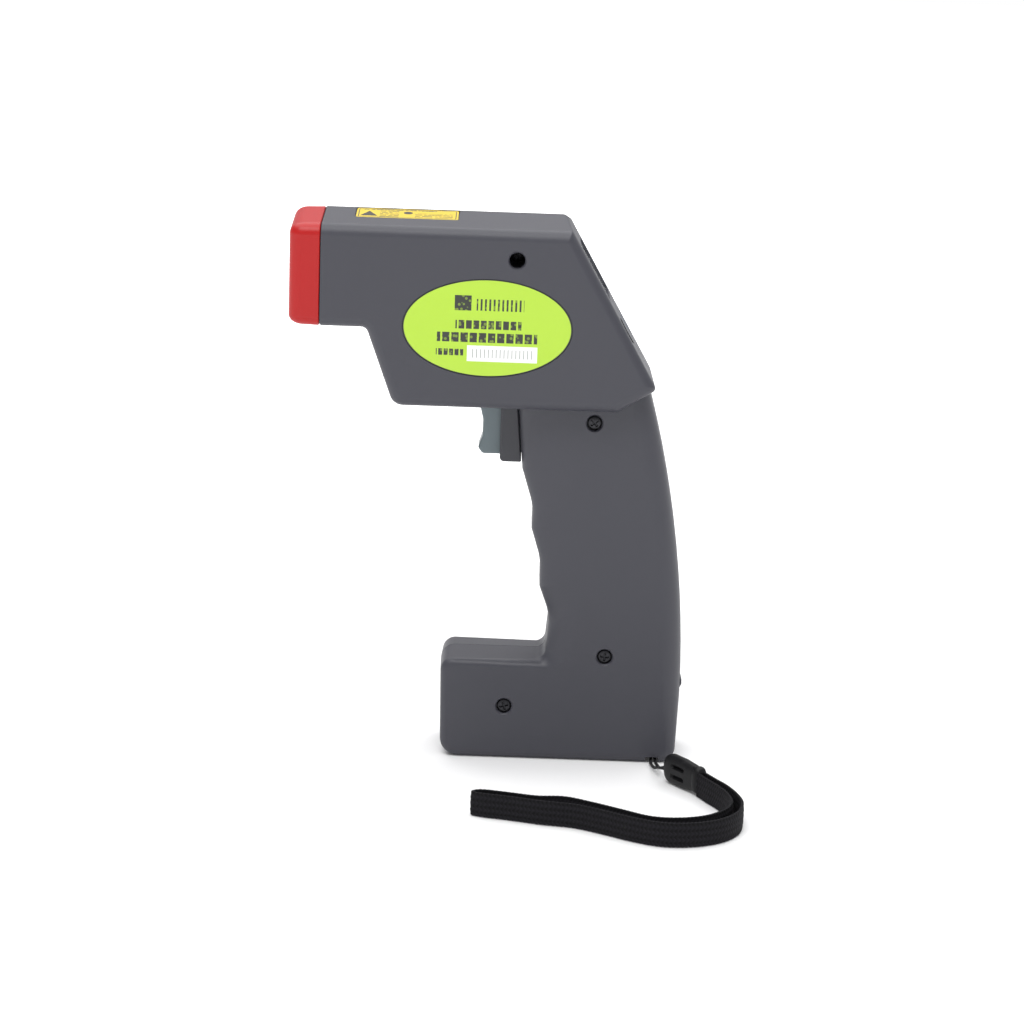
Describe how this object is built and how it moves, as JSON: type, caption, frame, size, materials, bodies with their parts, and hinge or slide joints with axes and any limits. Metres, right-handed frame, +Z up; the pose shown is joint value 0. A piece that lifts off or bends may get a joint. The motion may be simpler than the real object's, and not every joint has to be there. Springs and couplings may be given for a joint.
{
  "type": "infrared thermometer",
  "caption": "Pistol-grip infrared thermometer with a boxy head, red nose ring, trigger, finger-grooved grip, flat foot to stand on, and a wrist strap.",
  "frame": {"origin": "middle of the body's footprint on the surface that it stands on, strap left out", "axes": "+Z up, -X towards the nose that measures, -Y towards the left side with the oval label and the screws"},
  "size_m": [0.1837, 0.145, 0.2226],
  "materials": {
    "housing": "fine satin grain, blue-grey ABS",
    "guide": "fine satin grain, darker grey ABS",
    "bezel": "satin red moulded plastic",
    "trigger": "smooth pale blue-grey plastic",
    "black_plastic": "smooth black moulded plastic",
    "screw": "black oxide steel",
    "steel": "plain bright steel",
    "green_label": "printed lime green film with a dark edge",
    "yellow_label": "printed yellow film with a dark edge",
    "lens": "dark infrared lens with a warm sheen",
    "laser_glass": "small dark red window",
    "window": "clear acrylic",
    "lcd": "grey-green liquid crystal panel",
    "rubber": "soft grey silicone rubber",
    "board": "green solder mask",
    "brass": "turned brass",
    "battery": "printed jacket",
    "red_wire": "red insulation",
    "black_wire": "black insulation",
    "strap": "black woven nylon"
  },
  "bodies": {
    "housing": {"left_housing": "housing", "right_housing": "housing", "nose_bezel": "bezel", "front_baffle": "black_plastic", "lens_barrel": "black_plastic", "ir_lens": "lens", "thermopile_sensor": "steel", "sensor_board": "board", "laser_module": "brass", "laser_window": "laser_glass", "sensor_lead": "black_wire", "laser_lead": "red_wire", "display_window": "window", "lcd_panel": "lcd", "keypad_mat": "rubber", "main_board": "board", "processor_chip": "black_plastic", "buzzer": "black_plastic", "board_screw_1": "steel", "board_screw_2": "steel", "board_screw_3": "steel", "board_screw_4": "steel", "trigger_guide": "guide", "trigger_spring": "steel", "trigger_switch": "black_plastic", "battery": "battery", "battery_snap": "black_plastic", "battery_lead_red": "red_wire", "battery_lead_black": "black_wire", "head_screw": "screw", "grip_upper_screw": "screw", "grip_lower_screw": "screw", "foot_screw": "screw", "oval_label": "green_label", "roof_label": "yellow_label", "lanyard_pin": "steel", "strap_string": "strap", "strap_clip": "black_plastic", "strap_band": "strap"},
    "trigger": {"trigger": "trigger"},
    "up_key": {"up_key": "rubber"},
    "laser_key": {"laser_key": "rubber"},
    "down_key": {"down_key": "rubber"},
    "battery_door": {"battery_door": "housing"}
  },
  "joints": [
    {"name": "trigger_pull", "type": "slide", "parent": "housing", "child": "trigger", "axis": [1, 0, 0], "range_m": [0, 0.004], "stiffness_N_per_m": 400, "springref_m": -0.002, "deforming": ["trigger_spring"]},
    {"name": "up_key_press", "type": "slide", "parent": "housing", "child": "up_key", "axis": [-0.8654, 0, -0.5011], "range_m": [0, 0.0008], "stiffness_N_per_m": 1500, "springref_m": -0.0003},
    {"name": "laser_key_press", "type": "slide", "parent": "housing", "child": "laser_key", "axis": [-0.8654, 0, -0.5011], "range_m": [0, 0.0008], "stiffness_N_per_m": 1500, "springref_m": -0.0003},
    {"name": "down_key_press", "type": "slide", "parent": "housing", "child": "down_key", "axis": [-0.8654, 0, -0.5011], "range_m": [0, 0.0008], "stiffness_N_per_m": 1500, "springref_m": -0.0003},
    {"name": "battery_door_hinge", "type": "hinge", "parent": "housing", "child": "battery_door", "pos_m": [0.07978, 0, 0.00505], "axis": [0, 1, 0], "range_deg": [0, 85]}
  ]
}
